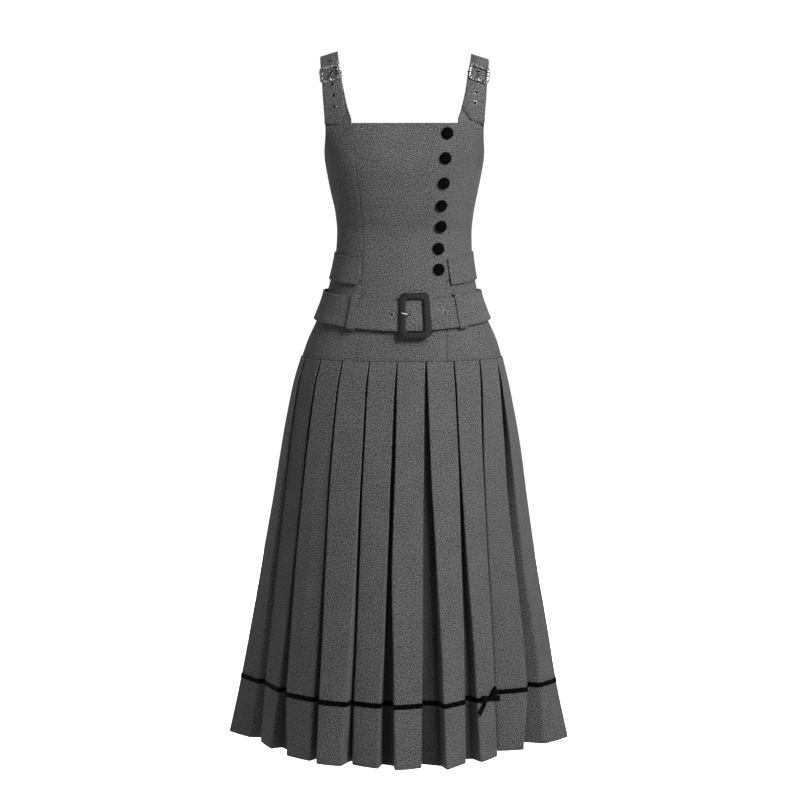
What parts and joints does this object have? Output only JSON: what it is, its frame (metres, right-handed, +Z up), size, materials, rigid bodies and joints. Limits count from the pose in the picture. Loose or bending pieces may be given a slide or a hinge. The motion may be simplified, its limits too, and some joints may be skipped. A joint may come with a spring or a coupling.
{
  "type": "pinafore dress",
  "caption": "Sleeveless worn-form dress with buckled shoulder straps, square neck, buttoned princess panels, belt at the hips and a pleated midi skirt.",
  "frame": {"origin": "midway between the two shoulder straps, level with their highest point", "axes": "+Z up along the dress, +X to the viewer's right when it is seen from the front, and the front faces -Y"},
  "size_m": [0.584, 0.481, 1.1597],
  "materials": {
    "wool_cloth": "matt brushed wool, mottled charcoal",
    "velvet": "black velvet pile",
    "covered_frame": "dark cloth-covered frame",
    "silver_metal": "polished silver-coloured metal"
  },
  "bodies": {
    "root": {"back_centre": "wool_cloth", "belt": "wool_cloth", "belt_buckle": "covered_frame", "belt_eyelet_1": "silver_metal", "belt_eyelet_2": "silver_metal", "belt_eyelet_3": "silver_metal", "belt_eyelet_4": "silver_metal", "belt_eyelet_5": "silver_metal", "belt_loop_back_left": "wool_cloth", "belt_loop_back_right": "wool_cloth", "belt_loop_front_left": "wool_cloth", "belt_loop_front_right": "wool_cloth", "belt_prong": "silver_metal", "bow_knot": "velvet", "bow_loop_left": "velvet", "bow_loop_right": "velvet", "bow_tail_left": "velvet", "bow_tail_right": "velvet", "button_1": "velvet", "button_2": "velvet", "button_3": "velvet", "button_4": "velvet", "button_5": "velvet", "button_6": "velvet", "button_7": "velvet", "front_centre": "wool_cloth", "hem_ribbon_back": "velvet", "hem_ribbon_front": "velvet", "pocket_flap_left": "wool_cloth", "pocket_flap_right": "wool_cloth", "side_back_left": "wool_cloth", "side_back_right": "wool_cloth", "side_front_left": "wool_cloth", "side_front_right": "wool_cloth", "skirt_back": "wool_cloth", "skirt_front": "wool_cloth", "strap_buckle_left": "silver_metal", "strap_buckle_right": "silver_metal", "strap_eyelet_left_1": "silver_metal", "strap_eyelet_left_2": "silver_metal", "strap_eyelet_left_3": "silver_metal", "strap_eyelet_left_4": "silver_metal", "strap_eyelet_left_5": "silver_metal", "strap_eyelet_right_1": "silver_metal", "strap_eyelet_right_2": "silver_metal", "strap_eyelet_right_3": "silver_metal", "strap_eyelet_right_4": "silver_metal", "strap_eyelet_right_5": "silver_metal", "strap_left": "wool_cloth", "strap_prong_left": "silver_metal", "strap_prong_right": "silver_metal", "strap_right": "wool_cloth"}
  },
  "joints": []
}
